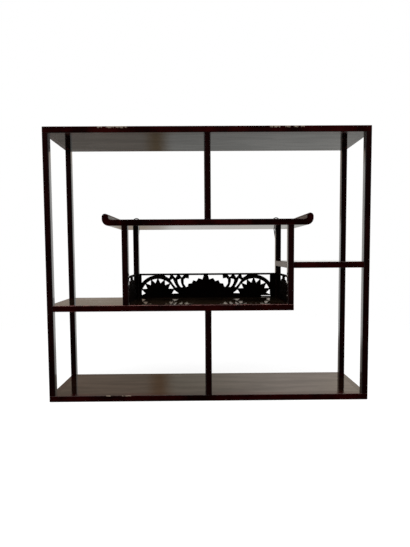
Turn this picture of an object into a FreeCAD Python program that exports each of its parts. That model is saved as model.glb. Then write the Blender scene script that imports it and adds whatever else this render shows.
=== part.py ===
import FreeCAD, Part
import math
import os

# A lacquered hardwood etagere: two open frames of slim square bars, joined front to back by flush
# shelf panels, with a rolled-end shelf, a pierced gallery and two wire hanging loops behind.
# X runs along the width, Y from front to back and Z up. The origin is the middle of the base.
# All sizes are in millimetres.

# Outer frame
width = 500.0
depth = 108.0
height = 424.0
bar = 9.6
edge_round = 0.8
post_round = 1.4

# Upper faces of the shelves, measured from the base
middle_shelf_top = 151.8
side_shelf_top = 217.5
scroll_shelf_top = 284.0

# Centre line of the inner posts, measured from the middle
inner_post_offset = 128.0

# Rolled ends of the scroll shelf, measured from the shelf's upper face and the inner posts' outer faces
scroll_reach = 29.6
scroll_rise = 9.0
scroll_lip = 10.4
scroll_hollow = 3.0
scroll_sweep = 10.5

# Tenons, mitre tongues and panel tongues, with the room that each has in its mortise or groove
tenon_shoulder = 3.0
tenon_length = 4.5
mitre_tongue_width = 4.0
mitre_tongue_reach = 3.0
mitre_tongue_thickness = 1.8
mitre_tongue_web = 0.8
panel_thickness = 9.6
panel_tongue = 2.0
panel_tongue_thickness = 4.0
panel_seam = 0.1
fit_clearance = 0.1
end_clearance = 0.3

# Pierced gallery boards. The rear board's pattern stands off its middle, towards the left.
gallery_height = 43.5
gallery_thickness = 3.0
gallery_tongue = 2.0
gallery_top_bar = 3.2
gallery_bottom_bar = 3.1
gallery_stile = 3.9
gallery_shift = 2.8
arch_width = 6.9
arch_lap = 0.4
arch_inset = 29.5
sun_gap_count = 8
sun_tooth_depth = 7.7
sun_tooth_tip = 1.8
flower_foot = 9.7
slit_length = 17.0
slit_height = 1.1
slit_rise = 1.5
slit_inset = 8.5

# Hanging loops and their screws, which sit in the inner rear posts below the scroll shelf
loop_wire = 1.6
loop_width = 13.0
loop_height = 47.0
loop_clearance = 0.3
loop_play = 0.2
loop_screw_drop = 25.4
right_loop_lean = 3.5
screw_diameter = 2.6
screw_depth = 7.0
screw_head_diameter = 7.4
screw_head_rise = 1.8
screw_rim = 0.6
screw_point = 2.0
screw_point_diameter = 0.8
screw_slot_width = 0.8
screw_slot_depth = 0.7

# Places that follow from the sizes above
half_width = width / 2
half_depth = depth / 2
half_bar = bar / 2
inner_x = half_width - bar
inner_y = half_depth - bar
corner_post_x = half_width - half_bar
post_y = half_depth - half_bar
top_under = height - bar
bay_edge = inner_post_offset + half_bar
bay_inside = inner_post_offset - half_bar
middle_shelf_under = middle_shelf_top - bar
scroll_shelf_under = scroll_shelf_top - bar
loop_screw_height = scroll_shelf_under - loop_screw_drop
tenon_half = half_bar - tenon_shoulder
stub_length = tenon_shoulder - 2 * fit_clearance

UP = FreeCAD.Vector(0, 0, 1)
DOWN = FreeCAD.Vector(0, 0, -1)
LEFT = FreeCAD.Vector(-1, 0, 0)
RIGHT = FreeCAD.Vector(1, 0, 0)
FORWARD = FreeCAD.Vector(0, -1, 0)
BACKWARD = FreeCAD.Vector(0, 1, 0)

# Two places nearer than this count as one
touching = 1e-6

pieces = {}


def point(x, y, z):
    return FreeCAD.Vector(x, y, z)


def block(first, last):
    """A box between two opposite corners, given in any order."""
    low = [min(a, b) for a, b in zip(first, last)]
    size = [abs(a - b) for a, b in zip(first, last)]
    return Part.makeBox(size[0], size[1], size[2], point(*low))


def prism(outline, z_low, z_high):
    """An upright prism on a plan outline of (x, y) points."""
    corners = [point(x, y, z_low) for x, y in outline]
    face = Part.Face(Part.makePolygon(corners + corners[:1]))
    return face.extrude(point(0, 0, z_high - z_low))


def edges_along(shape, axis):
    """The straight edges of a box-like shape that run along one axis, 0 for X to 2 for Z."""
    found = []
    for edge in shape.Edges:
        box = edge.BoundBox
        spans = [box.XLength, box.YLength, box.ZLength]
        if all(span < touching for index, span in enumerate(spans) if index != axis):
            found.append(edge)
    return found


def level_edges(shape, z):
    """The edges of a shape that lie flat at one height."""
    found = []
    for edge in shape.Edges:
        box = edge.BoundBox
        if box.ZLength < touching and abs(box.ZMin - z) < touching:
            found.append(edge)
    return found


def soften(shape, edges, radius=edge_round):
    return shape.makeFillet(radius, edges)


def peg(seat, direction, length, room):
    """A square tenon that leaves its shoulder at seat; room widens it into a mortise."""
    half = tenon_half + room
    across = point(*[half * (1 - abs(part)) for part in direction])
    tip = seat + direction * length
    return block(tuple(seat - across), tuple(tip + across))


def join(male, female_names, seat, direction, length):
    """Give one piece a tenon, and the pieces that receive it the mortise."""
    pieces[male] = pieces[male].fuse(peg(seat, direction, length, 0.0))
    for name in female_names:
        mortise = peg(seat, direction, length + end_clearance, fit_clearance)
        pieces[name] = pieces[name].cut(mortise)


def let_in_panel(name, rails, x_low, x_high, y_reach, z_top):
    """A flush panel with a tongue on all four sides, and the grooves that hold it in its rails."""
    tongue_middle = z_top - min(panel_thickness, bar) / 2
    z_low = tongue_middle - panel_tongue_thickness / 2
    z_high = tongue_middle + panel_tongue_thickness / 2

    def layer(x_grow, y_grow, low, high):
        return block((x_low - x_grow, -y_reach - y_grow, low), (x_high + x_grow, y_reach + y_grow, high))

    panel = layer(-panel_seam, -panel_seam, z_top - panel_thickness, z_top)
    panel = panel.fuse(layer(panel_tongue, -panel_seam, z_low, z_high))
    pieces[name] = panel.fuse(layer(-panel_seam, panel_tongue, z_low, z_high))
    groove_depth = panel_tongue + end_clearance
    for x_grow, y_grow in ((groove_depth, 0.0), (0.0, groove_depth)):
        groove = layer(x_grow, y_grow, z_low - fit_clearance, z_high + fit_clearance)
        for rail in rails:
            pieces[rail] = pieces[rail].cut(groove)


def mitred_frame(name, z_low, post_face, outward):
    """Four mitred rails round a flush panel. Posts enter at post_face, and outward points away from them."""
    slab = block((-half_width, -half_depth, z_low), (half_width, half_depth, z_low + bar))
    slab = soften(slab, edges_along(slab, 2), post_round)
    z_high = z_low + bar
    for z in (z_low, z_high):
        slab = soften(slab, level_edges(slab, z))
    for side, sign in (("front", -1), ("rear", 1)):
        outer = sign * half_depth
        inner = sign * inner_y
        plan = [(-half_width, outer), (half_width, outer), (inner_x, inner), (-inner_x, inner)]
        pieces[f"{name}_{side}_rail"] = slab.common(prism(plan, z_low, z_high))
    for side, sign in (("left", -1), ("right", 1)):
        outer = sign * half_width
        inner = sign * inner_x
        plan = [(outer, -half_depth), (outer, half_depth), (inner, inner_y), (inner, -inner_y)]
        pieces[f"{name}_{side}_rail"] = slab.common(prism(plan, z_low, z_high))
    tongue_near = post_face + outward * (tenon_length + end_clearance + mitre_tongue_web)
    tongue_far = tongue_near + outward * mitre_tongue_thickness
    for end, x_sign in (("left", -1), ("right", 1)):
        for face, y_sign in (("front", -1), ("rear", 1)):
            male = f"{name}_{end}_rail"
            female = f"{name}_{face}_rail"
            add_mitre_tongue(male, female, x_sign, y_sign, tongue_near, tongue_far)
    rails = [f"{name}_{side}_rail" for side in ("front", "rear", "left", "right")]
    let_in_panel(f"{name}_panel", rails, -inner_x, inner_x, inner_y, z_high)


def add_mitre_tongue(male, female, x_sign, y_sign, z_near, z_far):
    """A hidden tongue across a mitred corner, clear of the post's tenon."""
    half = mitre_tongue_width / 2
    outward = 1 if z_far > z_near else -1
    for name, room, end in ((male, 0.0, 0.0), (female, fit_clearance, end_clearance)):
        x_near = x_sign * (corner_post_x - half - room)
        x_far = x_sign * (corner_post_x + half + room)
        y_near = y_sign * (post_y - half - room)
        y_far = y_sign * (post_y + mitre_tongue_reach + end)
        tongue = block((x_near, y_near, z_near - outward * room), (x_far, y_far, z_far + outward * room))
        if name == male:
            pieces[name] = pieces[name].fuse(tongue)
        else:
            pieces[name] = pieces[name].cut(tongue)


def add_post(name, x, y, z_low, z_high, below, above):
    """A square post with a tenon at each end, let into the rails named below and above it."""
    post = block((x - half_bar, y - half_bar, z_low), (x + half_bar, y + half_bar, z_high))
    pieces[name] = soften(post, edges_along(post, 2), post_round)
    join(name, below, point(x, y, z_low), DOWN, tenon_length)
    join(name, above, point(x, y, z_high), UP, tenon_length)


def shelf_slab(x_low, x_high, z_top):
    """A shelf's outer block, with its long front and rear edges rounded."""
    slab = block((x_low, -half_depth, z_top - bar), (x_high, half_depth, z_top))
    return soften(slab, edges_along(slab, 0))


def long_rails(name, slab, x_low, x_high, z_top):
    """Cut the front and rear rails of a shelf from its rounded block."""
    z_low = z_top - bar
    pieces[f"{name}_front_rail"] = slab.common(block((x_low, -half_depth, z_low), (x_high, -inner_y, z_top)))
    pieces[f"{name}_rear_rail"] = slab.common(block((x_low, inner_y, z_low), (x_high, half_depth, z_top)))


def cross_rail(name, x_inner, x_outer, z_top):
    """A short rail from front to back, rounded along the edges of its outer face."""
    rail = block((x_inner, -inner_y, z_top - bar), (x_outer, inner_y, z_top))
    outer_edges = [edge for edge in edges_along(rail, 1) if abs(edge.CenterOfMass.x - x_outer) < touching]
    pieces[name] = soften(rail, outer_edges)


def join_cross_rail(name, x, z_top, front, rear):
    middle = z_top - half_bar
    join(name, [front], point(x, -inner_y, middle), FORWARD, stub_length)
    join(name, [rear], point(x, inner_y, middle), BACKWARD, stub_length)


def corner_posts():
    for face, y in (("front", -post_y), ("rear", post_y)):
        for side, x in (("left", -corner_post_x), ("right", corner_post_x)):
            below = [f"base_{face}_rail", f"base_{side}_rail"]
            above = [f"top_{face}_rail", f"top_{side}_rail"]
            add_post(f"{face}_{side}_post", x, y, bar, top_under, below, above)


def middle_shelf():
    """The shelf between the left corner posts and the right inner posts, with a closed right end."""
    name = "middle_shelf"
    slab = block((-inner_x, -half_depth, middle_shelf_under), (bay_edge, half_depth, middle_shelf_top))
    right_edges = [edge for edge in slab.Edges if abs(edge.BoundBox.XMin - bay_edge) < touching]
    slab = soften(slab, edges_along(slab, 0) + right_edges)
    long_rails(name, slab, -inner_x, bay_edge, middle_shelf_top)
    end_block = block((bay_inside, -inner_y, middle_shelf_under), (bay_edge, inner_y, middle_shelf_top))
    pieces["middle_shelf_end_rail"] = slab.common(end_block)
    cross_rail("middle_shelf_left_rail", -inner_x, -half_width, middle_shelf_top)
    join_cross_rail("middle_shelf_left_rail", -corner_post_x, middle_shelf_top,
                    "front_left_post", "rear_left_post")
    join_cross_rail("middle_shelf_end_rail", inner_post_offset, middle_shelf_top,
                    "middle_shelf_front_rail", "middle_shelf_rear_rail")
    for face, y in (("front", -post_y), ("rear", post_y)):
        seat = point(-inner_x, y, middle_shelf_top - half_bar)
        join(f"{name}_{face}_rail", [f"{face}_left_post"], seat, LEFT, stub_length)
    rails = [f"{name}_{side}_rail" for side in ("front", "rear", "left", "end")]
    let_in_panel("middle_shelf_panel", rails, -inner_x, bay_inside, inner_y, middle_shelf_top)


def scroll_end_outline():
    """The rolled end's section, as (reach, rise) from the shelf's end and its upper face.

    A round lip runs on smoothly into the sweep below it and the hollow on its inner side.
    """
    lip_radius = scroll_lip / 2
    lip_u = scroll_reach - lip_radius
    lip_v = scroll_rise - lip_radius
    sweep_start = scroll_reach - scroll_sweep
    sweep_end = scroll_sweep - bar
    diagonal = scroll_sweep * math.sqrt(0.5)
    run = math.sqrt(2 * scroll_hollow * scroll_rise + lip_radius ** 2 - lip_v ** 2)
    flat_end = lip_u - run
    turn = math.atan2(run, scroll_hollow - lip_v)
    hollow_end = (flat_end + scroll_hollow * math.sin(turn), scroll_hollow * (1 - math.cos(turn)))
    hollow_middle = (flat_end + scroll_hollow * math.sin(turn / 2),
                     scroll_hollow * (1 - math.cos(turn / 2)))
    lip_angle = (math.pi / 2 + turn) / 2
    lip_middle = (lip_u + lip_radius * math.cos(lip_angle), lip_v + lip_radius * math.sin(lip_angle))
    return [
        [(0.0, -bar), (sweep_start, -bar)],
        [(sweep_start, -bar), (sweep_start + diagonal, sweep_end - diagonal), (scroll_reach, sweep_end)],
        [(scroll_reach, sweep_end), (scroll_reach, lip_v)],
        [(scroll_reach, lip_v), lip_middle, hollow_end],
        [hollow_end, hollow_middle, (flat_end, 0.0)],
        [(flat_end, 0.0), (0.0, 0.0)],
        [(0.0, 0.0), (0.0, -bar)],
    ]


def scroll_end(sign):
    """A rolled shelf end, carried from front to back on the side that sign gives."""
    def place(reach, rise):
        return point(sign * (bay_edge + reach), -half_depth, scroll_shelf_top + rise)

    edges = []
    for stretch in scroll_end_outline():
        places = [place(*corner) for corner in stretch]
        if len(places) == 2:
            edges.append(Part.makeLine(places[0], places[1]))
        else:
            edges.append(Part.Arc(places[0], places[1], places[2]).toShape())
    section = Part.Face(Part.Wire(edges))
    end = section.extrude(point(0, depth, 0))
    seat = sign * bay_edge
    rounded = []
    for edge in end.Edges:
        box = edge.BoundBox
        flat_at_face = box.YLength < touching
        at_seat = abs(box.XMin - seat) < touching and abs(box.XMax - seat) < touching
        if flat_at_face and not at_seat:
            rounded.append(edge)
    return soften(end, rounded)


def scroll_shelf():
    """The shelf that hangs from the upper centre posts, with rolled ends past the inner posts."""
    name = "scroll_shelf"
    slab = shelf_slab(-bay_edge, bay_edge, scroll_shelf_top)
    long_rails(name, slab, -bay_edge, bay_edge, scroll_shelf_top)
    for side, sign, direction in (("left", -1, LEFT), ("right", 1, RIGHT)):
        pieces[f"{name}_{side}_end"] = scroll_end(sign)
        for face, y in (("front", -post_y), ("rear", post_y)):
            seat = point(sign * bay_edge, y, scroll_shelf_top - half_bar)
            join(f"{name}_{face}_rail", [f"{name}_{side}_end"], seat, direction, stub_length)
    holders = [f"{name}_front_rail", f"{name}_rear_rail", f"{name}_left_end", f"{name}_right_end"]
    let_in_panel("scroll_shelf_panel", holders, -bay_edge, bay_edge, inner_y, scroll_shelf_top)


def inner_posts():
    for face, y in (("front", -post_y), ("rear", post_y)):
        for side, x in (("left", -inner_post_offset), ("right", inner_post_offset)):
            below = [f"middle_shelf_{face}_rail"]
            above = [f"scroll_shelf_{face}_rail"]
            add_post(f"inner_{face}_{side}_post", x, y, middle_shelf_top, scroll_shelf_under, below, above)


def centre_posts():
    for face, y in (("front", -post_y), ("rear", post_y)):
        lower = f"lower_{face}_centre_post"
        add_post(lower, 0.0, y, bar, middle_shelf_under, [f"base_{face}_rail"], [f"middle_shelf_{face}_rail"])
        upper = f"upper_{face}_centre_post"
        scroll_rail = f"scroll_shelf_{face}_rail"
        add_post(upper, 0.0, y, scroll_shelf_top, top_under, [scroll_rail], [f"top_{face}_rail"])


def side_shelf():
    """The small shelf between the right inner posts and the right corner posts."""
    name = "side_shelf"
    slab = shelf_slab(bay_edge, inner_x, side_shelf_top)
    long_rails(name, slab, bay_edge, inner_x, side_shelf_top)
    cross_rail("side_shelf_inner_rail", bay_edge, bay_inside, side_shelf_top)
    cross_rail("side_shelf_outer_rail", inner_x, half_width, side_shelf_top)
    join_cross_rail("side_shelf_inner_rail", inner_post_offset, side_shelf_top,
                    "inner_front_right_post", "inner_rear_right_post")
    join_cross_rail("side_shelf_outer_rail", corner_post_x, side_shelf_top,
                    "front_right_post", "rear_right_post")
    for face, y in (("front", -post_y), ("rear", post_y)):
        rail = f"{name}_{face}_rail"
        middle = side_shelf_top - half_bar
        join(rail, [f"inner_{face}_right_post"], point(bay_edge, y, middle), LEFT, stub_length)
        join(rail, [f"{face}_right_post"], point(inner_x, y, middle), RIGHT, stub_length)
    rails = [f"{name}_{side}_rail" for side in ("front", "rear", "inner", "outer")]
    let_in_panel("side_shelf_panel", rails, bay_edge, inner_x, inner_y, side_shelf_top)


# Gallery outlines are drawn on a flat board: u runs along it from its middle, v up from its foot.
# The leaf and flower points are counted in heights of the pierced field, for the left half.
field_low = gallery_bottom_bar
field_high = gallery_height - gallery_top_bar
field_height = field_high - field_low
arch_outside = field_height + arch_lap
arch_inside = arch_outside - arch_width
leaf_notches = [
    [(-2.07, 1.03), (-1.73, 1.03), (-1.75, 0.94), (-1.80, 0.84)],
    [(-1.63, 1.03), (-1.38, 1.03), (-1.49, 0.86)],
    [(-1.29, 1.03), (-1.04, 1.03), (-1.18, 0.89)],
]
leaf_slots = [
    [(-1.73, 0.75), (-1.61, 0.83), (-1.53, 0.63), (-1.41, 0.42), (-1.47, 0.40), (-1.60, 0.56)],
    [(-1.38, 0.78), (-1.22, 0.83), (-1.20, 0.59), (-1.12, 0.42), (-1.20, 0.40), (-1.34, 0.58)],
]
flower_steps = [
    (-0.09, 1.03), (-0.17, 0.79), (-0.36, 0.85), (-0.46, 0.70), (-0.62, 0.75), (-0.69, 0.60),
    (-0.85, 0.58), (-0.90, 0.43),
]
stem_hollow = [(-0.97, 0.42), (-1.08, 0.58), (-1.08, 0.78), (-1.00, 0.86), (-0.83, 0.83), (-0.82, 1.03)]
arch_foot_gap = [(0.79, 0.28), (1.02, 0.11), (0.68, 0.10)]


def flat_face(outline):
    """A face on the drawing board, X for u and Z for v."""
    corners = [point(u, 0, v) for u, v in outline]
    return Part.Face(Part.makePolygon(corners + corners[:1]))


def slot_face(outline):
    """A leaf slot: three points up one curved side and three down the other."""
    places = [point(u, 0, v) for u, v in outline]
    first, second, third, fourth, fifth, sixth = places
    edges = [
        Part.makeLine(first, second),
        Part.Arc(second, third, fourth).toShape(),
        Part.makeLine(fourth, fifth),
        Part.Arc(fifth, sixth, first).toShape(),
    ]
    return Part.Face(Part.Wire(edges))


def disc(centre, radius):
    circle = Part.Circle(point(centre[0], 0, centre[1]), BACKWARD, radius)
    return Part.Face(Part.Wire(circle.toShape()))


def field_points(outline):
    """Turn points counted in field heights into millimetres on the board."""
    return [(u * field_height, field_low + v * field_height) for u, v in outline]


def mirrored(face):
    return face.mirror(point(0, 0, 0), RIGHT)


def sun_gaps(centre_u):
    """The wedge gaps between a half sun's teeth, each with its base on the arch round the sun.

    The gap nearest to the flower opens under the arch's foot instead.
    """
    foot_gap = flat_face(field_points(arch_foot_gap))
    foot_gap.translate(point(centre_u, 0, 0))
    gaps = [foot_gap]
    pitch = math.pi / sun_gap_count
    spread = pitch / 2 - math.asin(sun_tooth_tip / 2 / arch_inside)

    def at(radius, angle):
        return point(centre_u + radius * math.cos(angle), 0, field_low + radius * math.sin(angle))

    for index in range(1, sun_gap_count):
        middle = pitch * (index + 0.5)
        apex = at(arch_inside - sun_tooth_depth, middle)
        start = at(arch_inside, middle - spread)
        crown = at(arch_inside, middle)
        end = at(arch_inside, middle + spread)
        edges = [Part.makeLine(apex, start), Part.Arc(start, crown, end).toShape(), Part.makeLine(end, apex)]
        gaps.append(Part.Face(Part.Wire(edges)))
    return gaps


def field_face(u_low, u_high, v_low):
    """The part of a board's pierced field between two uprights, from v_low to its top."""
    return flat_face([(u_low, v_low), (u_high, v_low), (u_high, field_high), (u_low, field_high)])


def long_board_openings(half_length):
    """Openings of the rear board's left half: a half sun in its arch, leaves, and half the flower."""
    half_field = half_length - gallery_stile
    arch_u = arch_inset - half_field
    arch_disc = disc((arch_u, field_low), arch_outside)
    field = field_face(-half_field, 0.0, field_low)
    spandrel = field_face(-half_field, arch_u, field_low)
    openings = [spandrel.cut(arch_disc)]
    openings += [gap.common(field) for gap in sun_gaps(arch_u)]
    leaves = [flat_face(field_points(outline)) for outline in leaf_notches]
    leaves.append(flat_face(field_points(flower_steps + stem_hollow)))
    openings += [leaf.common(field).cut(arch_disc) for leaf in leaves]
    openings += [slot_face(field_points(outline)) for outline in leaf_slots]
    return openings


def short_board_openings(half_length):
    """Openings of a side board's left half: all that its flower leaves open above a level foot."""
    sky = field_face(gallery_stile - half_length, 0.0, flower_foot)
    flower_top = flower_steps[0][1]
    flower_edge = flower_steps[-1][0]
    flower = flat_face(field_points(flower_steps + [(flower_edge, 0.0), (0.0, 0.0), (0.0, flower_top)]))
    return [sky.cut(flower)]


def both_halves(openings, shift):
    """A left half's openings and their mirror images, moved to the left by shift."""
    faces = openings + [mirrored(opening) for opening in openings]
    for face in faces:
        face.translate(point(-shift, 0, 0))
    return faces


def foot_slit(half_length):
    """A narrow slit through the rear board's foot, near its right end."""
    u_high = half_length - slit_inset
    v_high = slit_rise + slit_height
    u_low = u_high - slit_length
    return flat_face([(u_low, slit_rise), (u_high, slit_rise), (u_high, v_high), (u_low, v_high)])


def gallery_board(half_length, openings):
    """A thin pierced board on the drawing plane, its ends reaching into the posts' grooves."""
    reach = half_length + gallery_tongue
    back = -gallery_thickness / 2
    board = block((-reach, back, 0.0), (reach, -back, gallery_height))
    for opening in openings:
        cutter = opening.extrude(point(0, gallery_thickness, 0))
        cutter.translate(point(0, back, 0))
        board = board.cut(cutter)
    return board


def groove_post(name, toward):
    """Cut the upright groove for a gallery board's end in the face of a post that looks toward it."""
    post_box = pieces[name].BoundBox
    middle = point((post_box.XMin + post_box.XMax) / 2, (post_box.YMin + post_box.YMax) / 2, middle_shelf_top)
    depth_in = gallery_tongue + end_clearance
    half = gallery_thickness / 2 + fit_clearance
    across = point(*[half * (1 - abs(part)) for part in (toward.x, toward.y, 1)])
    face = middle + toward * half_bar
    top = point(0, 0, gallery_height + fit_clearance)
    groove = block(tuple(face - toward * depth_in - across), tuple(face + across + top))
    pieces[name] = pieces[name].cut(groove)


def gallery():
    pattern = both_halves(long_board_openings(bay_inside - gallery_shift), gallery_shift)
    rear = gallery_board(bay_inside, pattern + [foot_slit(bay_inside)])
    rear.translate(point(0, post_y, middle_shelf_top))
    pieces["gallery_rear_board"] = rear
    for side, x in (("left", -inner_post_offset), ("right", inner_post_offset)):
        board = gallery_board(inner_y, both_halves(short_board_openings(inner_y), 0.0))
        board.rotate(point(0, 0, 0), UP, 90)
        board.translate(point(x, 0, middle_shelf_top))
        pieces[f"gallery_{side}_board"] = board
        groove_post(f"inner_front_{side}_post", BACKWARD)
        groove_post(f"inner_rear_{side}_post", FORWARD)
    groove_post("inner_rear_left_post", RIGHT)
    groove_post("inner_rear_right_post", LEFT)


def hanging_loop(x):
    """A bent wire loop: a wide bow above, narrowing to an eye round its screw."""
    eye_radius = screw_diameter / 2 + loop_play + loop_wire / 2
    bow_radius = loop_width / 2 - loop_wire / 2
    rise = loop_height - loop_width / 2
    lean = math.asin((bow_radius - eye_radius) / rise)
    y = half_depth + loop_clearance + loop_wire / 2

    def place(u, v):
        return point(x + u, y, loop_screw_height + v)

    side = math.cos(lean)
    drop = math.sin(lean)
    eye_right = place(eye_radius * side, -eye_radius * drop)
    eye_left = place(-eye_radius * side, -eye_radius * drop)
    bow_right = place(bow_radius * side, rise - bow_radius * drop)
    bow_left = place(-bow_radius * side, rise - bow_radius * drop)
    path = Part.Wire([
        Part.makeLine(eye_right, bow_right),
        Part.Arc(bow_right, place(0.0, rise + bow_radius), bow_left).toShape(),
        Part.makeLine(bow_left, eye_left),
        Part.Arc(eye_left, place(0.0, -eye_radius), eye_right).toShape(),
    ])
    along = bow_right - eye_right
    section = Part.Wire(Part.Circle(eye_right, along, loop_wire / 2).toShape())
    return path.makePipeShell([section], True, False)


def hanger_screw(x):
    """A slotted round-head screw whose plain neck carries a hanging loop, drawn from the post's rear face."""
    under_head = 2 * loop_clearance + loop_wire
    crown = under_head + screw_head_rise
    past_crown = crown + screw_rim
    radius = screw_diameter / 2
    head_radius = screw_head_diameter / 2
    neck_start = screw_point - screw_depth

    def at(y):
        return point(0, y, 0)

    cone = Part.makeCone(screw_point_diameter / 2, radius, screw_point, at(-screw_depth), BACKWARD)
    neck = Part.makeCylinder(radius, under_head - neck_start, at(neck_start), BACKWARD)
    head = Part.makeCylinder(head_radius, past_crown - under_head, at(under_head), BACKWARD)
    dome_rise = screw_head_rise - screw_rim
    dome_radius = (head_radius ** 2 + dome_rise ** 2) / (2 * dome_rise)
    head = head.common(Part.makeSphere(dome_radius, at(crown - dome_radius)))
    slot_half = screw_slot_width / 2
    slot = block((-screw_head_diameter, crown - screw_slot_depth, -slot_half),
                 (screw_head_diameter, past_crown, slot_half))
    screw = head.cut(slot).fuse(neck).fuse(cone)
    screw.translate(point(x, half_depth, loop_screw_height))
    return screw


def hangers():
    screws = []
    for side, x, lean in (("left", -inner_post_offset, 0.0), ("right", inner_post_offset, right_loop_lean)):
        pivot = point(x, half_depth, loop_screw_height)
        loop = hanging_loop(x)
        loop.rotate(pivot, FORWARD, lean)
        pieces[f"{side}_hanging_loop"] = loop
        screws.append(hanger_screw(x))
        hole = Part.makeCylinder(screw_diameter / 2 + fit_clearance, screw_depth + end_clearance,
                                 pivot, FORWARD)
        post = f"inner_rear_{side}_post"
        pieces[post] = pieces[post].cut(hole)
    pieces["hanger_screws"] = Part.makeCompound(screws)


def one_solid(shape):
    """Merge the faces that lie in one plane, and keep plain solids."""
    solids = shape.removeSplitter().Solids
    return solids[0] if len(solids) == 1 else Part.makeCompound(solids)


mitred_frame("base", 0.0, bar, -1)
mitred_frame("top", top_under, top_under, 1)
corner_posts()
middle_shelf()
scroll_shelf()
inner_posts()
centre_posts()
side_shelf()
gallery()
hangers()

os.makedirs("parts", exist_ok=True)
for piece_name, piece_shape in pieces.items():
    solid = one_solid(piece_shape)
    solid.exportStep(f"parts/{piece_name}.step")
    print(piece_name, "solids", len(solid.Solids), "volume", round(solid.Volume, 2), "valid", solid.isValid())
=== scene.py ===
import math

import bpy
from mathutils import Matrix, Vector


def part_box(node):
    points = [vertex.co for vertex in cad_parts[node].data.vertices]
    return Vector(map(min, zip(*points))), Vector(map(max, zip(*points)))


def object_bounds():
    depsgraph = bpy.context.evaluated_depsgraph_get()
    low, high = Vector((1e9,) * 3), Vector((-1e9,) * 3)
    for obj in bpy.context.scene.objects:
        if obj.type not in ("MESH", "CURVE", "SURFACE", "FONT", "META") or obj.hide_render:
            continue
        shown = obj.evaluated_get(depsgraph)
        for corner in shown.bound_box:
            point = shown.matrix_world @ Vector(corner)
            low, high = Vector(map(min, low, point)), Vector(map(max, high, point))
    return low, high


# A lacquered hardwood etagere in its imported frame: metres, X along the width, Y to the back, Z up.

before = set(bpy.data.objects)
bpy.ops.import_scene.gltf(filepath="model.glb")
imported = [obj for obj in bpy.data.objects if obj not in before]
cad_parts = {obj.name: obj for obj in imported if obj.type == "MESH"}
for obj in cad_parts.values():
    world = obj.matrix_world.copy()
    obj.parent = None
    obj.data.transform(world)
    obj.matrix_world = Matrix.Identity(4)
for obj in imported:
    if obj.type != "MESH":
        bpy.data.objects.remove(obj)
cad_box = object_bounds()

# Camera, as the photograph was taken: close, a little left of the middle and a little above the centre.
# Its angles are in degrees.
CAMERA_PLACE = (-0.0088, -0.6366, 0.2322)
CAMERA_YAW = 0.38
CAMERA_PITCH = 3.12
CAMERA_ROLL = -0.37
NEAREST_SEEN = 0.01
SENSOR_WIDTH = 36.0
FOCAL_PIXELS = 378.5
IMAGE_HEIGHT = 547.0

# Colours of the lacquer and of the wood under it, linear
LACQUER_DARK = (0.0036, 0.0003, 0.0002)
LACQUER_RED = (0.0200, 0.0007, 0.0007)
POST_DARK = (0.0036, 0.0003, 0.0003)
POST_RED = (0.0090, 0.0005, 0.0005)
# The top rail's two tones are the lacquer's made lighter: painted light, standing in for more light
# falling on the top rail.
TOP_DARK_PAINTED_LIT = (0.0048, 0.0004, 0.0003)
TOP_RED_PAINTED_LIT = (0.0220, 0.0008, 0.0008)
BOARD_DARK = (0.0030, 0.0010, 0.0006)
BOARD_BROWN = (0.0130, 0.0052, 0.0032)
BAY_DARK = (0.0060, 0.0034, 0.0018)
BAY_BROWN = (0.0240, 0.0150, 0.0085)
FRETWORK_BLACK = (0.0012, 0.0008, 0.0007)
FRETWORK_BROWN = (0.0034, 0.0014, 0.0011)
# The next two colours pale the upper edges of the rails: partly lacquer abraded through, partly a
# painted highlight standing in for light caught by the rounded edge. The first also colours the wood in
# chips.
WORN_AND_HIGHLIGHT_RED = (0.0650, 0.0260, 0.0190)
RUBBED_AND_HIGHLIGHT_PALE = (0.2700, 0.1000, 0.0850)
BARE_WOOD = (0.3300, 0.2700, 0.2000)

# Finishes of the wooden pieces: two tones, the share of wear and painted highlight along upper edges,
# the roughness of flat faces, and what else sets a finish apart
FRAME = {"dark": LACQUER_DARK, "light": LACQUER_RED, "wear_and_highlight": 0.5, "roughness": 0.10}
# The top rail's finish carries those painted lighter tones.
TOP_FRONT_PAINTED_LIT = {"dark": TOP_DARK_PAINTED_LIT, "light": TOP_RED_PAINTED_LIT, "wear_and_highlight": 0.6, "roughness": 0.10}
BASE_FRONT = {"dark": LACQUER_DARK, "light": LACQUER_RED, "wear_and_highlight": 0.4, "roughness": 0.10}
MIDDLE_FRONT = {"dark": LACQUER_DARK, "light": LACQUER_RED, "wear_and_highlight": 1.0, "roughness": 0.10,
                "rubbed_and_highlight": RUBBED_AND_HIGHLIGHT_PALE}
POST = {"dark": POST_DARK, "light": POST_RED, "wear_and_highlight": 0.0, "roughness": 0.14, "relief": 0.05,
        "polished": True}
BOARD = {"dark": BOARD_DARK, "light": BOARD_BROWN, "wear_and_highlight": 0.0, "roughness": 0.03, "relief": 1.0,
         "streaked": True}
BOWED_BOARD = {"dark": BAY_DARK, "light": BAY_BROWN, "wear_and_highlight": 0.0, "roughness": 0.05, "relief": 1.0,
               "streaked": True, "bowed": True}
FRETWORK = {"dark": FRETWORK_BLACK, "light": FRETWORK_BROWN, "wear_and_highlight": 0.1, "roughness": 0.65,
            "specular": 0.02}

# Pieces that have a material to themselves: its name and its finish
OWN_FINISHES = {
    "top_front_rail": ("top_chipped_painted_lit", TOP_FRONT_PAINTED_LIT),
    "base_front_rail": ("base_chipped", BASE_FRONT),
    "middle_shelf_front_rail": ("middle_front", MIDDLE_FRONT),
    "middle_shelf_panel": ("bowed_board", BOWED_BOARD),
}

# Finishes of the metal pieces
METALS = {
    "aged_wire": {"bright": (0.012, 0.010, 0.008), "tarnish": (0.004, 0.003, 0.003), "roughness": 0.50,
                  "metallic": 0.2},
    "aged_brass": {"bright": (0.42, 0.27, 0.10), "tarnish": (0.085, 0.050, 0.026), "roughness": 0.30,
                   "metallic": 1.0},
}

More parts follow.
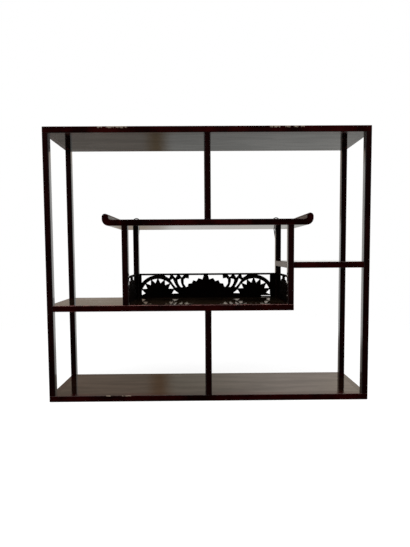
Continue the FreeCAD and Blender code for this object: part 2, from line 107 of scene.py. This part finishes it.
# Grain and polished streaks: features per metre across and along them
GRAIN = (420.0, 9.0)
STREAKS = (75.0, 11.0)
FIBRE_BEND = 0.25

# Noise textures: features per metre, octaves, and how much the finer octaves count. Fibres are sized by
# the grain or the streaks that they make.
FIBRES = (1.0, 5.0, 0.62)
MOTTLE = (26.0, 3.0, 0.55)
RUB_AND_HIGHLIGHT = (55.0, 3.0, 0.50)
RIPPLE = (60.0, 2.0, 0.55)
CHIP_EDGE = (330.0, 6.0, 0.70)
DUST = (900.0, 2.0, 0.55)
TARNISH = (320.0, 5.0, 0.65)
SCRATCHES = (2400.0, 2.0, 0.55)

# Noise values at which each effect starts and is full
TONE_RANGE = (0.36, 0.64)
RUB_AND_HIGHLIGHT_RANGE = (0.38, 0.62)
GLOSS_RANGE = (0.30, 0.70)
DUST_RANGE = (0.55, 0.80)
CHIP_RANGE = (0.26, 0.58)
TARNISH_RANGE = (0.35, 0.65)

# How far each piece's textures are moved along X, Y and Z, at most
PIECE_SHIFT = (3.1, 5.3, 7.7)

# Shares of the textures in the tone and in the height of the surface
GRAIN_SHARE = 0.35
MOTTLE_SHARE = 0.65
STREAK_SHARE = 0.5
GRAIN_WAVE = 0.5
RIPPLE_WAVE = 1.0
STREAK_WAVE = 1.2
WAVE_HEIGHT = 0.00008
SCRATCH_HEIGHT = 0.00004
SCRATCH_STRENGTH = 0.3

# Gloss: flat faces are uneven and dusty, rounded edges are rubbed dull, posts have a clear coat on their
# flat faces, and boards are polished in streaks by the weight of their clear coat
LACQUER_IOR = 1.5
UNEVEN_ROUGHNESS = 0.05
DUST_ROUGHNESS = 0.06
EDGE_ROUGHNESS = 0.55
BARE_ROUGHNESS = 0.8
TARNISH_ROUGHNESS = 0.22
POLISH_ROUGHNESS = 0.04
STREAK_COAT = 0.24

# How squarely a surface faces along an axis, from a flat face to the middle of its rounded edge: beside
# the upright faces, below the top, and on any edge
BESIDE_FACE = (0.99, 0.80)
BELOW_TOP = (0.985, 0.90)
ANY_EDGE = (0.998, 0.95)

# The least share of the wear and painted highlight along an upper edge
LEAST_RUB_AND_HIGHLIGHT = 0.25

# Edges that turn by more degrees than this stay sharp
SMOOTH_ANGLE = 24.0

# Chips along upper front edges, as first and last X, and how far they reach from the edge
TOP_CHIPS = ((-0.167, -0.158), (-0.156, -0.118), (0.093, 0.112), (0.117, 0.127), (0.131, 0.139),
             (0.141, 0.148))
TOP_CHIP_SIZE = 0.0034
BASE_CHIPS = ((-0.162, -0.153), (-0.138, -0.120))
BASE_CHIP_SIZE = 0.0013
EDGE_CHIPS = {"top_front_rail": (TOP_CHIPS, TOP_CHIP_SIZE),
              "base_front_rail": (BASE_CHIPS, BASE_CHIP_SIZE)}
CHIP_FADE_SHARE = 0.25
CHIP_END_RANGE = (0.15, 0.60)
CHIP_SOFT_EDGE = 0.0004

# The board under the gallery bows up towards the back: its slope there, and the X where the bow starts
# and where it is full
BOW_SLOPE = 0.061
BOW_START = -0.133
BOW_FULL = -0.123

# What gloss shows behind the object: a warm dim side on the left, a narrow brown stripe, and a pale side
# on the right. The stops are shares of the way from left to right, with colours well above the horizon,
# near it and well below it.
SCREEN_HALF_SPAN = 0.5
SCREEN_STOPS = (0.34, 0.383, 0.43, 0.75, 1.00)
SCREEN_HIGH = ((0.41, 0.32, 0.25), (0.30, 0.19, 0.115), (0.49, 0.43, 0.35), (0.86, 0.75, 0.66),
               (1.00, 0.86, 0.70))
SCREEN_LEVEL = ((0.40, 0.33, 0.27), (0.45, 0.40, 0.36), (0.66, 0.63, 0.60), (0.56, 0.56, 0.53),
                (0.48, 0.48, 0.45))
SCREEN_LOW = ((0.29, 0.26, 0.23), (0.20, 0.15, 0.095), (0.43, 0.43, 0.41), (0.54, 0.54, 0.52),
              (0.60, 0.59, 0.56))
LOW_TO_LEVEL = (-0.22, -0.08)
LEVEL_TO_HIGH = (0.14, 0.28)

# Strips of the screen that are white: the slopes to the side where each starts and is full, the heights
# of its lower and upper edge, and how far it fades past those edges
SCREEN_WHITE = (1.0, 1.0, 0.98)
BRIGHT_STRIPS = ((-0.205, -0.280, -0.190, 0.060, 0.030), (-0.400, -0.420, -0.190, 0.190, 0.050),
                 (0.200, 0.260, 0.003, 0.050, 0.020), (0.300, 0.360, -0.190, 0.190, 0.050))

# The dim room in front, how far back a direction points where the room gives way to the screen, and the
# least depth at which a slope to the side is taken
DIM_ROOM = (0.008, 0.005, 0.004)
ROOM_TO_SCREEN = (-0.10, 0.45)
LEAST_DEPTH = 0.05

# Light on the object: an even white all round, and three soft lamps with their places and watts
WHITE = (1.0, 1.0, 1.0, 1.0)
AMBIENT = 0.45
LAMPS = {"left_lamp": ((-1.6, -1.0, 1.9), 24.0), "right_lamp": ((1.6, -1.0, 1.9), 22.0),
         "top_lamp": ((0.0, -0.5, 2.2), 16.0)}
LAMP_TARGET = (0.0, 0.0, 0.2)
LAMP_SIZE = 1.2

# The floor is a disc just under the object, and fades out between two shares of its radius
FLOOR_RADIUS = 0.9
FLOOR_SIDES = 96
FLOOR_DROP = 0.0002
FLOOR_FADE = (0.55, 0.98)
FLOOR_GREY = (0.26, 0.26, 0.26, 1.0)
FLOOR_GLOW = 0.84

# Sockets of a colour mix, by number, because the node's sockets for other values have the same names
MIX_FACTOR = 0
MIX_COLOURS = (6, 7)
MIX_RESULT = 2


def add_node(tree, kind, **values):
    """A shader node; a keyword names an attribute of it or, failing that, an input socket."""
    node = tree.nodes.new(kind)
    for key, value in values.items():
        if hasattr(node, key):
            setattr(node, key, value)
        else:
            node.inputs[key].default_value = value
    return node


def plug(tree, target, value):
    """Set a socket to a value, or link it to another socket."""
    if isinstance(value, bpy.types.NodeSocket):
        tree.links.new(value, target)
    else:
        target.default_value = value


def maths(tree, operation, first, second=0.0):
    node = add_node(tree, "ShaderNodeMath", operation=operation)
    plug(tree, node.inputs[0], first)
    plug(tree, node.inputs[1], second)
    return node.outputs[0]


def weighted(tree, *terms):
    """The sum of some values, each times its weight."""
    total = 0.0
    for value, weight in terms:
        total = maths(tree, "ADD", total, maths(tree, "MULTIPLY", value, weight))
    return total


def add_vectors(tree, first, second):
    node = add_node(tree, "ShaderNodeVectorMath", operation="ADD")
    tree.links.new(first, node.inputs[0])
    tree.links.new(second, node.inputs[1])
    return node.outputs["Vector"]


def split(tree, vector):
    """The X, Y and Z sockets of a vector."""
    node = add_node(tree, "ShaderNodeSeparateXYZ")
    tree.links.new(vector, node.inputs[0])
    return node.outputs


def remap(tree, value, low, high, out_low=0.0, out_high=1.0, smooth=True):
    """Move a value from one range to another, held at its ends."""
    node = add_node(tree, "ShaderNodeMapRange", interpolation_type="SMOOTHSTEP" if smooth else "LINEAR")
    for name, part in (("Value", value), ("From Min", low), ("From Max", high),
                       ("To Min", out_low), ("To Max", out_high)):
        plug(tree, node.inputs[name], part)
    return node.outputs["Result"]


def between(tree, value, first, last, fade):
    """1 between two values and 0 past a soft step on either side."""
    rise = remap(tree, value, first - fade, first)
    return maths(tree, "MULTIPLY", rise, remap(tree, value, last + fade, last))


def with_alpha(colour):
    """A colour with its alpha; a socket stays as it is."""
    return colour if isinstance(colour, bpy.types.NodeSocket) else (*colour, 1.0)


def blend_colour(tree, factor, first, second):
    node = add_node(tree, "ShaderNodeMix", data_type="RGBA")
    plug(tree, node.inputs[MIX_FACTOR], factor)
    for index, colour in zip(MIX_COLOURS, (first, second)):
        plug(tree, node.inputs[index], with_alpha(colour))
    return node.outputs[MIX_RESULT]


def colour_ramp(tree, factor, positions, colours):
    node = add_node(tree, "ShaderNodeValToRGB")
    node.color_ramp.interpolation = "EASE"
    elements = node.color_ramp.elements
    while len(elements) < len(positions):
        elements.new(1.0)
    for element, position, colour in zip(elements, positions, colours):
        element.position = position
        element.color = with_alpha(colour)
    tree.links.new(factor, node.inputs[0])
    return node.outputs[0]


def noise(tree, vector, texture, bend=0.0):
    """The value of a noise texture, given as features per metre, octaves and the finer ones' weight."""
    scale, detail, roughness = texture
    node = add_node(tree, "ShaderNodeTexNoise", Scale=scale, Detail=detail, Roughness=roughness,
                    Distortion=bend)
    tree.links.new(vector, node.inputs["Vector"])
    return node.outputs["Fac"]


def fibres(tree, vector, axis, sizes):
    """Streaks that run along one axis, 0 for X to 2 for Z, sized across and along it."""
    across, along = sizes
    stretch = [along if index == axis else across for index in range(3)]
    mapping = add_node(tree, "ShaderNodeMapping", Scale=stretch)
    tree.links.new(vector, mapping.inputs["Vector"])
    return noise(tree, mapping.outputs["Vector"], FIBRES, FIBRE_BEND)


def bump(tree, height, strength, distance):
    node = add_node(tree, "ShaderNodeBump", Strength=strength, Distance=distance)
    tree.links.new(height, node.inputs["Height"])
    return node.outputs["Normal"]


def new_material(name):
    """A material with no nodes yet, and its tree."""
    material = bpy.data.materials.new(name)
    material.use_nodes = True
    material.node_tree.nodes.clear()
    return material, material.node_tree


def show_surface(tree, surface):
    output = add_node(tree, "ShaderNodeOutputMaterial")
    tree.links.new(surface, output.inputs["Surface"])


def finish_shader(tree, shader, colour, rough, normal):
    """Link what varies over every surface to its shader, and show that."""
    tree.links.new(colour, shader.inputs["Base Color"])
    tree.links.new(rough, shader.inputs["Roughness"])
    tree.links.new(normal, shader.inputs["Normal"])
    show_surface(tree, shader.outputs[0])


def mix_shaders(tree, factor, first, second):
    node = add_node(tree, "ShaderNodeMixShader")
    for socket, part in zip(node.inputs, (factor, first, second)):
        tree.links.new(part, socket)
    return node.outputs[0]


def piece_coordinates(tree):
    """Object coordinates, and the same moved by a different amount on each piece."""
    place = add_node(tree, "ShaderNodeTexCoord").outputs["Object"]
    random = add_node(tree, "ShaderNodeObjectInfo").outputs["Random"]
    offset = add_node(tree, "ShaderNodeCombineXYZ")
    for socket, shift in zip(offset.inputs, PIECE_SHIFT):
        tree.links.new(maths(tree, "MULTIPLY", random, shift), socket)
    return place, add_vectors(tree, place, offset.outputs[0])


def facing(tree):
    """The X, Y and Z parts of the direction that the surface faces."""
    return split(tree, add_node(tree, "ShaderNodeTexCoord").outputs["Normal"])


def largest(tree, parts):
    """The largest of some values, whatever their signs."""
    found = 0.0
    for part in parts:
        found = maths(tree, "MAXIMUM", found, maths(tree, "ABSOLUTE", part))
    return found


def upper_edge(tree):
    """0 on a face, and 1 in the middle of the rounded edge where an upright face turns into the top."""
    aside, level, upward = facing(tree)
    turned = remap(tree, largest(tree, (aside, level)), *BESIDE_FACE)
    return maths(tree, "MULTIPLY", turned, remap(tree, upward, *BELOW_TOP))


def rounded_edge(tree):
    """0 on a flat face, and 1 in the middle of any rounded edge."""
    return remap(tree, largest(tree, facing(tree)), *ANY_EDGE)


def chip_mask(tree, place, spans, size, top):
    """Ragged chips of one size along an upper front edge, between the X places in spans."""
    across, inward, height = split(tree, place)
    along = 0.0
    for first, last in spans:
        fade = (last - first) * CHIP_FADE_SHARE
        rise = remap(tree, across, first, first + fade)
        fall = remap(tree, across, last, last - fade)
        along = maths(tree, "MAXIMUM", along, maths(tree, "MULTIPLY", rise, fall))
    from_top = maths(tree, "ABSOLUTE", maths(tree, "SUBTRACT", top, height))
    from_front = maths(tree, "ABSOLUTE", maths(tree, "SUBTRACT", inward, cad_box[0][1]))
    from_edge = maths(tree, "ADD", from_top, from_front)
    reach = maths(tree, "MULTIPLY", remap(tree, noise(tree, place, CHIP_EDGE), *CHIP_RANGE), size)
    inside = remap(tree, maths(tree, "SUBTRACT", reach, from_edge), 0.0, CHIP_SOFT_EDGE)
    return maths(tree, "MULTIPLY", inside, remap(tree, along, *CHIP_END_RANGE))


def chipped(tree, place, grain, chips, colour, rough):
    """A lacquer's colour and roughness, with bare wood in its chips."""
    bare = chip_mask(tree, place, *chips)
    wood = blend_colour(tree, grain, BARE_WOOD, WORN_AND_HIGHLIGHT_RED)
    bare_rough = maths(tree, "MULTIPLY", bare, BARE_ROUGHNESS)
    return blend_colour(tree, bare, colour, wood), maths(tree, "MAXIMUM", rough, bare_rough)


def worn_and_highlit_colour(tree, moved, tone, dark, light, wear_and_highlight, rubbed_and_highlight):
    """A lacquer's colour between its two tones, paler along the upper edges, partly where the lacquer is
    abraded and partly as a painted highlight.
    """
    colour = blend_colour(tree, remap(tree, tone, *TONE_RANGE), dark, light)
    rub_and_highlight = remap(tree, noise(tree, moved, RUB_AND_HIGHLIGHT), *RUB_AND_HIGHLIGHT_RANGE, LEAST_RUB_AND_HIGHLIGHT, 1.0)
    # Paler upper edges: partly abraded lacquer, partly a painted highlight where the rounded edge would
    # catch light.
    edge_wear_and_highlight = maths(tree, "MULTIPLY", upper_edge(tree), rub_and_highlight)
    return blend_colour(tree, maths(tree, "MULTIPLY", edge_wear_and_highlight, wear_and_highlight), colour, rubbed_and_highlight)


def aged_roughness(tree, moved, mottle, rounded, roughness):
    """A lacquer's roughness: uneven, dusty in specks, and dull on its rounded edges."""
    uneven = remap(tree, mottle, *GLOSS_RANGE, roughness, roughness + UNEVEN_ROUGHNESS)
    dust = remap(tree, noise(tree, moved, DUST), *DUST_RANGE)
    dusty = maths(tree, "ADD", uneven, maths(tree, "MULTIPLY", dust, DUST_ROUGHNESS))
    return maths(tree, "MAXIMUM", dusty, maths(tree, "MULTIPLY", rounded, EDGE_ROUGHNESS))


def bowed_normal(tree, place, normal):
    """Lean a board's surface to the front under the gallery, and leave it level to the left of that."""
    share = remap(tree, split(tree, place)["X"], BOW_START, BOW_FULL)
    lean = add_node(tree, "ShaderNodeCombineXYZ")
    tree.links.new(maths(tree, "MULTIPLY", share, -BOW_SLOPE), lean.inputs["Y"])
    unit = add_node(tree, "ShaderNodeVectorMath", operation="NORMALIZE")
    tree.links.new(add_vectors(tree, normal, lean.outputs[0]), unit.inputs[0])
    return unit.outputs["Vector"]


def polished_coat(tree, shader, rounded):
    """A clear coat on the flat faces."""
    shader.inputs["Coat Roughness"].default_value = POLISH_ROUGHNESS
    tree.links.new(maths(tree, "SUBTRACT", 1.0, rounded), shader.inputs["Coat Weight"])


def streaked_coat(tree, shader, streaks, normal, roughness):
    """A clear coat that is polished in streaks."""
    shader.inputs["Coat Roughness"].default_value = roughness
    weight = remap(tree, streaks, *TONE_RANGE, 0.0, STREAK_COAT)
    tree.links.new(weight, shader.inputs["Coat Weight"])
    tree.links.new(normal, shader.inputs["Coat Normal"])


def lacquer(name, axis, dark, light, wear_and_highlight, roughness, relief=0.5, specular=0.5, rubbed_and_highlight=WORN_AND_HIGHLIGHT_RED,
            streaked=False, polished=False, bowed=False, chips=None):
    """Old lacquer on wood, with faint grain, a mottled tone and softly abraded edges, whose upper ones
    also carry a painted highlight.
    """
    material, tree = new_material(name)
    shader = add_node(tree, "ShaderNodeBsdfPrincipled", IOR=LACQUER_IOR)
    shader.inputs["Specular IOR Level"].default_value = specular
    place, moved = piece_coordinates(tree)
    rounded = rounded_edge(tree)
    grain = fibres(tree, moved, axis, GRAIN)
    mottle = noise(tree, moved, MOTTLE)
    tone = weighted(tree, (grain, GRAIN_SHARE), (mottle, MOTTLE_SHARE))
    waves = weighted(tree, (grain, GRAIN_WAVE), (noise(tree, moved, RIPPLE), RIPPLE_WAVE))
    if streaked:
        streaks = fibres(tree, moved, axis, STREAKS)
        tone = weighted(tree, (streaks, STREAK_SHARE), (tone, 1.0 - STREAK_SHARE))
        waves = weighted(tree, (waves, 1.0), (streaks, STREAK_WAVE))
    normal = bump(tree, waves, relief, WAVE_HEIGHT)
    if bowed:
        normal = bowed_normal(tree, place, normal)
    if streaked:
        streaked_coat(tree, shader, streaks, normal, roughness)
    if polished:
        polished_coat(tree, shader, rounded)
    colour = worn_and_highlit_colour(tree, moved, tone, dark, light, wear_and_highlight, rubbed_and_highlight)
    rough = aged_roughness(tree, moved, mottle, rounded, roughness)
    if chips:
        colour, rough = chipped(tree, place, grain, chips, colour, rough)
    finish_shader(tree, shader, colour, rough, normal)
    return material


def aged_metal(name, bright, tarnish, roughness, metallic):
    """Blackened wire or a screw that has gone dull, with dark tarnish in patches."""
    material, tree = new_material(name)
    shader = add_node(tree, "ShaderNodeBsdfPrincipled", Metallic=metallic)
    _, moved = piece_coordinates(tree)
    patches = noise(tree, moved, TARNISH)
    colour = blend_colour(tree, remap(tree, patches, *TARNISH_RANGE), bright, tarnish)
    rough = remap(tree, patches, *GLOSS_RANGE, roughness, roughness + TARNISH_ROUGHNESS)
    normal = bump(tree, noise(tree, moved, SCRATCHES), SCRATCH_STRENGTH, SCRATCH_HEIGHT)
    finish_shader(tree, shader, colour, rough, normal)
    return material


def grain_axis(name):
    """The axis that a piece's grain runs along: 0 for X, 1 for Y, 2 for Z."""
    if name.endswith("_post"):
        return 2
    cross = ("_left_rail", "_right_rail", "_inner_rail", "_outer_rail", "_left_end", "_right_end",
             "shelf_end_rail", "gallery_left_board", "gallery_right_board")
    return 1 if name.endswith(cross) else 0


def finish_of(name):
    """The name of a wooden piece's material, and its finish."""
    if name in OWN_FINISHES:
        return OWN_FINISHES[name]
    letter = "xyz"[grain_axis(name)]
    if name.startswith("gallery"):
        return f"fretwork_{letter}", FRETWORK
    if name.endswith("_panel"):
        return "board", BOARD
    if name.endswith("_post"):
        return "post", POST
    return f"frame_{letter}", FRAME


def chips_on(name):
    """The chips of a front rail, with the height of its upper edge, or nothing."""
    if name not in EDGE_CHIPS:
        return None
    return *EDGE_CHIPS[name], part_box(name)[1][2]


def dress(node, material):
    """Give a node its material, with rounded edges shaded smoothly."""
    mesh = node.data
    mesh.materials.clear()
    mesh.materials.append(material)
    for polygon in mesh.polygons:
        polygon.use_smooth = True
    mesh.set_sharp_from_angle(angle=math.radians(SMOOTH_ANGLE))


def dress_all():
    """Dress every piece; wooden pieces with the same finish share one material."""
    made = {key: aged_metal(key, **finish) for key, finish in METALS.items()}
    for name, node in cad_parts.items():
        if name.endswith("_loop"):
            dress(node, made["aged_wire"])
        elif name == "hanger_screws":
            dress(node, made["aged_brass"])
        else:
            key, finish = finish_of(name)
            if key not in made:
                made[key] = lacquer(key, grain_axis(name), chips=chips_on(name), **finish)
            dress(node, made[key])


def place_camera():
    """A level camera that is turned by its yaw, tipped down by its pitch and then rolled."""
    yaw, pitch, roll = (math.radians(angle) for angle in (CAMERA_YAW, CAMERA_PITCH, CAMERA_ROLL))
    ahead = math.cos(pitch)
    forward = Vector((math.sin(yaw) * ahead, math.cos(yaw) * ahead, -math.sin(pitch)))
    level = Vector((math.cos(yaw), -math.sin(yaw), 0.0))
    upright = level.cross(forward)
    right = level * math.cos(roll) + upright * math.sin(roll)
    up = upright * math.cos(roll) - level * math.sin(roll)
    data = bpy.data.cameras.new("camera")
    data.sensor_width = SENSOR_WIDTH
    data.lens = FOCAL_PIXELS / IMAGE_HEIGHT * SENSOR_WIDTH
    data.clip_start = NEAREST_SEEN
    camera = bpy.data.objects.new("camera", data)
    bpy.context.collection.objects.link(camera)
    turn = Matrix((right, up, -forward)).transposed()
    camera.matrix_world = Matrix.Translation(CAMERA_PLACE) @ turn.to_4x4()
    bpy.context.scene.camera = camera


def place_lamps():
    """Soft round lamps that point at the object."""
    for name, (place, power) in LAMPS.items():
        data = bpy.data.lights.new(name, "AREA")
        data.energy = power
        data.shape = "DISK"
        data.size = LAMP_SIZE
        lamp = bpy.data.objects.new(name, data)
        bpy.context.collection.objects.link(lamp)
        lamp.location = place
        aim = Vector(LAMP_TARGET) - Vector(place)
        lamp.rotation_euler = aim.to_track_quat("-Z", "Y").to_euler()


def bright_strips(tree, aside, height):
    """Where the screen is white: towards its two ends, and along the horizon on the right."""
    share = 0.0
    for start, full, low, high, fade in BRIGHT_STRIPS:
        reached = remap(tree, aside, start, full)
        strip = maths(tree, "MULTIPLY", reached, between(tree, height, low, high, fade))
        share = maths(tree, "MAXIMUM", share, strip)
    return share


def room_colour(tree):
    """What gloss shows: a screen behind the object, paler to the right, and a dim room in front."""
    across, depth, height = split(tree, add_node(tree, "ShaderNodeTexCoord").outputs["Generated"])
    aside = maths(tree, "DIVIDE", across, maths(tree, "MAXIMUM", depth, LEAST_DEPTH))
    share = remap(tree, aside, -SCREEN_HALF_SPAN, SCREEN_HALF_SPAN, smooth=False)
    high, level, low = (colour_ramp(tree, share, SCREEN_STOPS, colours)
                        for colours in (SCREEN_HIGH, SCREEN_LEVEL, SCREEN_LOW))
    screen = blend_colour(tree, remap(tree, height, *LOW_TO_LEVEL), low, level)
    screen = blend_colour(tree, remap(tree, height, *LEVEL_TO_HIGH), screen, high)
    screen = blend_colour(tree, bright_strips(tree, aside, height), screen, SCREEN_WHITE)
    return blend_colour(tree, remap(tree, depth, *ROOM_TO_SCREEN), DIM_ROOM, screen)


def background(tree, colour, strength):
    node = add_node(tree, "ShaderNodeBackground", Strength=strength)
    plug(tree, node.inputs["Color"], colour)
    return node.outputs[0]


def light_world():
    """Even light on the object, the room in its gloss, and plain white to the camera."""
    world = bpy.data.worlds.new("studio")
    bpy.context.scene.world = world
    world.use_nodes = True
    tree = world.node_tree
    tree.nodes.clear()
    rays = add_node(tree, "ShaderNodeLightPath").outputs
    ambient = background(tree, WHITE, AMBIENT)
    room = background(tree, room_colour(tree), 1.0)
    white = background(tree, WHITE, 1.0)
    lit = mix_shaders(tree, rays["Is Glossy Ray"], ambient, room)
    seen = maths(tree, "MAXIMUM", rays["Is Camera Ray"], rays["Is Transmission Ray"])
    output = add_node(tree, "ShaderNodeOutputWorld")
    tree.links.new(mix_shaders(tree, seen, lit, white), output.inputs["Surface"])


def floor_material():
    """Pale to the camera with a soft shadow, and clear towards the rim and to gloss."""
    material, tree = new_material("pale_floor")
    rays = add_node(tree, "ShaderNodeLightPath").outputs
    from_middle = add_node(tree, "ShaderNodeVectorMath", operation="LENGTH")
    tree.links.new(add_node(tree, "ShaderNodeTexCoord").outputs["Object"], from_middle.inputs[0])
    fade_start, fade_end = (FLOOR_RADIUS * share for share in FLOOR_FADE)
    rim = remap(tree, from_middle.outputs["Value"], fade_start, fade_end)
    hidden = maths(tree, "MAXIMUM", rim, rays["Is Glossy Ray"])
    matt = add_node(tree, "ShaderNodeBsdfDiffuse", Color=FLOOR_GREY)
    glow = add_node(tree, "ShaderNodeEmission")
    tree.links.new(maths(tree, "MULTIPLY", rays["Is Camera Ray"], FLOOR_GLOW), glow.inputs["Strength"])
    pale = add_node(tree, "ShaderNodeAddShader")
    tree.links.new(matt.outputs[0], pale.inputs[0])
    tree.links.new(glow.outputs[0], pale.inputs[1])
    clear = add_node(tree, "ShaderNodeBsdfTransparent")
    show_surface(tree, mix_shaders(tree, hidden, pale.outputs[0], clear.outputs[0]))
    return material


def lay_floor():
    """A round floor just under the object."""
    turns = [math.tau * index / FLOOR_SIDES for index in range(FLOOR_SIDES)]
    ring = [(FLOOR_RADIUS * math.cos(turn), FLOOR_RADIUS * math.sin(turn), 0.0) for turn in turns]
    mesh = bpy.data.meshes.new("floor")
    mesh.from_pydata(ring, [], [list(range(FLOOR_SIDES))])
    mesh.materials.append(floor_material())
    floor = bpy.data.objects.new("floor", mesh)
    bpy.context.collection.objects.link(floor)
    floor.location = (0.0, 0.0, cad_box[0][2] - FLOOR_DROP)


dress_all()
place_camera()
place_lamps()
light_world()
lay_floor()
bpy.context.scene.view_settings.view_transform = "Standard"
